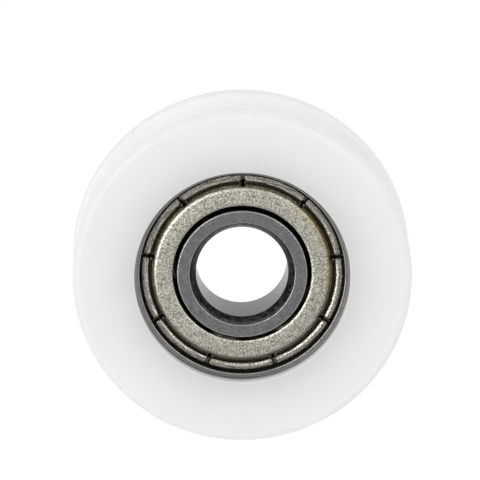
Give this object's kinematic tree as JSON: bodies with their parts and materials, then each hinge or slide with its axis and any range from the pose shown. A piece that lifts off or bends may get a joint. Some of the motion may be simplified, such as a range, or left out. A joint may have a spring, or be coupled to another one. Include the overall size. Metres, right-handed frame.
{
  "type": "u-groove pulley wheel",
  "caption": "White moulded plastic wheel with a U groove around its rim, running on a shielded ball bearing moulded into its hub.",
  "frame": {"origin": "centre of the bore, halfway between the wheel's two side faces", "axes": "+Z along the wheel's axis, towards the side seen in the picture; +X to the right and +Y up in the picture; the wheel lies flat on its rear side face"},
  "size_m": [0.022, 0.022, 0.007],
  "materials": {
    "white_plastic": "smooth moulded, slightly translucent",
    "bearing_steel": "ground",
    "shield_steel": "pressed sheet, fine matt grain",
    "cage_steel": "pressed sheet",
    "ball_steel": "polished"
  },
  "bodies": {
    "wheel": {"wheel_body": "white_plastic", "bearing_outer_ring": "bearing_steel", "front_shield": "shield_steel", "rear_shield": "shield_steel"},
    "inner_ring": {"bearing_inner_ring": "bearing_steel"},
    "cage": {"cage_front_half": "cage_steel", "cage_rear_half": "cage_steel", "cage_rivets": "cage_steel"},
    "ball_1": {"ball_1": "ball_steel"},
    "ball_2": {"ball_2": "ball_steel"},
    "ball_3": {"ball_3": "ball_steel"},
    "ball_4": {"ball_4": "ball_steel"},
    "ball_5": {"ball_5": "ball_steel"},
    "ball_6": {"ball_6": "ball_steel"},
    "ball_7": {"ball_7": "ball_steel"}
  },
  "joints": [
    {"name": "inner_ring_spin", "type": "hinge", "parent": "wheel", "child": "inner_ring", "pos_m": [0, 0, 0], "axis": [0, 0, 1], "continuous": true},
    {"name": "cage_spin", "type": "hinge", "parent": "wheel", "child": "cage", "pos_m": [0, 0, 0], "axis": [0, 0, 1], "continuous": true},
    {"name": "ball_1_roll", "type": "hinge", "parent": "cage", "child": "ball_1", "pos_m": [0.00525, 0, 0], "axis": [0, 0, 1], "continuous": true},
    {"name": "ball_2_roll", "type": "hinge", "parent": "cage", "child": "ball_2", "pos_m": [0.00327, 0.0041, 0], "axis": [0, 0, 1], "continuous": true},
    {"name": "ball_3_roll", "type": "hinge", "parent": "cage", "child": "ball_3", "pos_m": [-0.00117, 0.00512, 0], "axis": [0, 0, 1], "continuous": true},
    {"name": "ball_4_roll", "type": "hinge", "parent": "cage", "child": "ball_4", "pos_m": [-0.00473, 0.00228, 0], "axis": [0, 0, 1], "continuous": true},
    {"name": "ball_5_roll", "type": "hinge", "parent": "cage", "child": "ball_5", "pos_m": [-0.00473, -0.00228, 0], "axis": [0, 0, 1], "continuous": true},
    {"name": "ball_6_roll", "type": "hinge", "parent": "cage", "child": "ball_6", "pos_m": [-0.00117, -0.00512, 0], "axis": [0, 0, 1], "continuous": true},
    {"name": "ball_7_roll", "type": "hinge", "parent": "cage", "child": "ball_7", "pos_m": [0.00327, -0.0041, 0], "axis": [0, 0, 1], "continuous": true}
  ],
  "couplings": [
    {"joint": "cage_spin", "follows": "inner_ring_spin", "ratio": 0.36771},
    {"joint": "ball_1_roll", "follows": "inner_ring_spin", "ratio": -1.7576},
    {"joint": "ball_2_roll", "follows": "inner_ring_spin", "ratio": -1.7576},
    {"joint": "ball_3_roll", "follows": "inner_ring_spin", "ratio": -1.7576},
    {"joint": "ball_4_roll", "follows": "inner_ring_spin", "ratio": -1.7576},
    {"joint": "ball_5_roll", "follows": "inner_ring_spin", "ratio": -1.7576},
    {"joint": "ball_6_roll", "follows": "inner_ring_spin", "ratio": -1.7576},
    {"joint": "ball_7_roll", "follows": "inner_ring_spin", "ratio": -1.7576}
  ]
}
